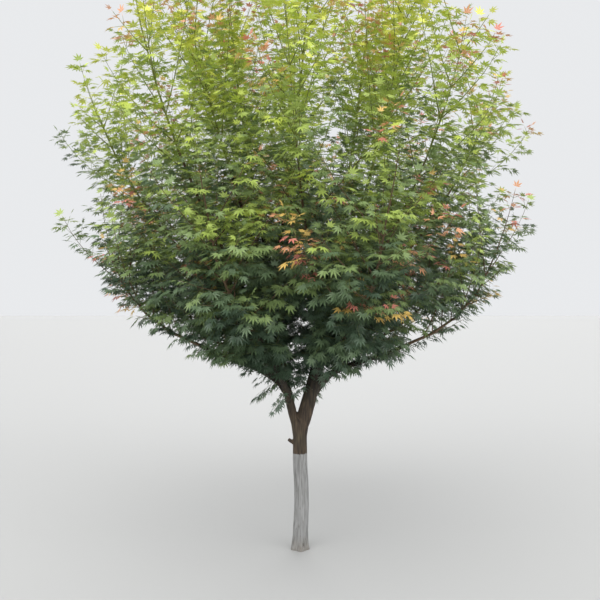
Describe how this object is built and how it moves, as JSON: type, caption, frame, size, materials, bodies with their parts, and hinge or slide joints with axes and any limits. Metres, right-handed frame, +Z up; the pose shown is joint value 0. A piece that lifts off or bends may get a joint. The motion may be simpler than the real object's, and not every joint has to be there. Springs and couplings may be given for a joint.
{
  "type": "japanese maple tree",
  "caption": "Nursery-grown Japanese maple in summer leaf: short limewashed trunk, low fork and a broad vase-shaped crown of palmate leaves in separate masses.",
  "frame": {"origin": "middle of the flat cut under the trunk, at ground level", "axes": "+Z up the trunk, +X to the right and +Y away in the picture's view"},
  "size_m": [2.9371, 3.132, 3.5944],
  "materials": {
    "trunk_bark": "smooth grey-brown bark under a rough coat of limewash up to 0.6 m",
    "bough_bark": "dull grey-brown bark with fine cracks and rings",
    "foliage": "soft green leaf blades with a slight sheen",
    "young_foliage": "yellow-green young leaf blades with a slight sheen"
  },
  "bodies": {
    "root": {"trunk": "trunk_bark", "bough_main": "bough_bark", "bough_left": "bough_bark", "bough_low_1": "bough_bark", "bough_low_2": "bough_bark", "bough_low_3": "bough_bark", "bough_low_4": "bough_bark", "bough_low_5": "bough_bark", "bough_low_6": "bough_bark", "bough_low_7": "bough_bark", "bough_low_8": "bough_bark", "bough_middle_1": "bough_bark", "bough_middle_2": "bough_bark", "bough_middle_3": "bough_bark", "bough_middle_4": "bough_bark", "bough_middle_5": "bough_bark", "bough_middle_6": "bough_bark", "bough_middle_7": "bough_bark", "bough_middle_8": "bough_bark", "bough_high_1": "bough_bark", "bough_high_2": "bough_bark", "bough_high_3": "bough_bark", "bough_high_4": "bough_bark", "bough_high_5": "bough_bark", "bough_high_6": "bough_bark", "bough_inner_1": "bough_bark", "bough_inner_2": "bough_bark", "bough_inner_3": "bough_bark", "bough_inner_4": "bough_bark", "foliage_main": "young_foliage", "foliage_left": "foliage", "foliage_low_1": "foliage", "foliage_low_2": "foliage", "foliage_low_3": "foliage", "foliage_low_4": "foliage", "foliage_low_5": "foliage", "foliage_low_6": "foliage", "foliage_low_7": "foliage", "foliage_low_8": "foliage", "foliage_middle_1": "foliage", "foliage_middle_2": "foliage", "foliage_middle_3": "foliage", "foliage_middle_4": "foliage", "foliage_middle_5": "foliage", "foliage_middle_6": "foliage", "foliage_middle_7": "foliage", "foliage_middle_8": "foliage", "foliage_high_1": "young_foliage", "foliage_high_2": "young_foliage", "foliage_high_3": "young_foliage", "foliage_high_4": "young_foliage", "foliage_high_5": "young_foliage", "foliage_high_6": "young_foliage", "foliage_inner_1": "foliage", "foliage_inner_2": "foliage", "foliage_inner_3": "foliage", "foliage_inner_4": "foliage"}
  },
  "joints": []
}
